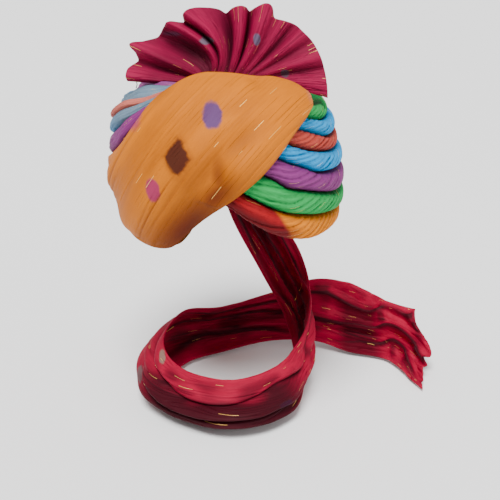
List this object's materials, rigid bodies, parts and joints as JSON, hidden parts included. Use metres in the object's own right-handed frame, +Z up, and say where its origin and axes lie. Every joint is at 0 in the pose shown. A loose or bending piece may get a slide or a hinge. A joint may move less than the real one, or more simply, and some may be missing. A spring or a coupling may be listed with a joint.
{
  "type": "tied turban",
  "caption": "Ready-tied wound turban: twisted coloured rolls, a broad pleated front sash, a pleated crown fan and a loose tail looped for the neck.",
  "frame": {"origin": "on the axis of the head opening, level with the lowest edge of the rolls", "axes": "+Z up along the head's axis, -Y the way the wearer faces, +X to the right of someone who looks at the face"},
  "size_m": [0.2951, 0.2575, 0.3637],
  "materials": {
    "under_wrap_cloth": "crinkled cotton, coral",
    "red_cloth": "twisted crinkled cotton, red to orange, gold thread",
    "green_cloth": "twisted crinkled cotton, green, gold thread",
    "purple_cloth": "twisted crinkled cotton, purple, gold thread",
    "blue_cloth": "twisted crinkled cotton, sky blue, gold thread",
    "coral_cloth": "twisted crinkled cotton, coral, gold thread",
    "saffron_cloth": "pleated crinkled cotton, saffron, tie-dye spots",
    "magenta_cloth": "pleated crinkled cotton, magenta, gold thread dashes"
  },
  "bodies": {
    "root": {"under_wrap": "under_wrap_cloth", "roll_1": "red_cloth", "roll_2": "green_cloth", "roll_3": "purple_cloth", "roll_4": "blue_cloth", "roll_5": "coral_cloth", "roll_6": "blue_cloth", "roll_7": "green_cloth", "front_sash": "saffron_cloth", "crown_fan": "magenta_cloth", "tail_cloth": "magenta_cloth"}
  },
  "joints": []
}
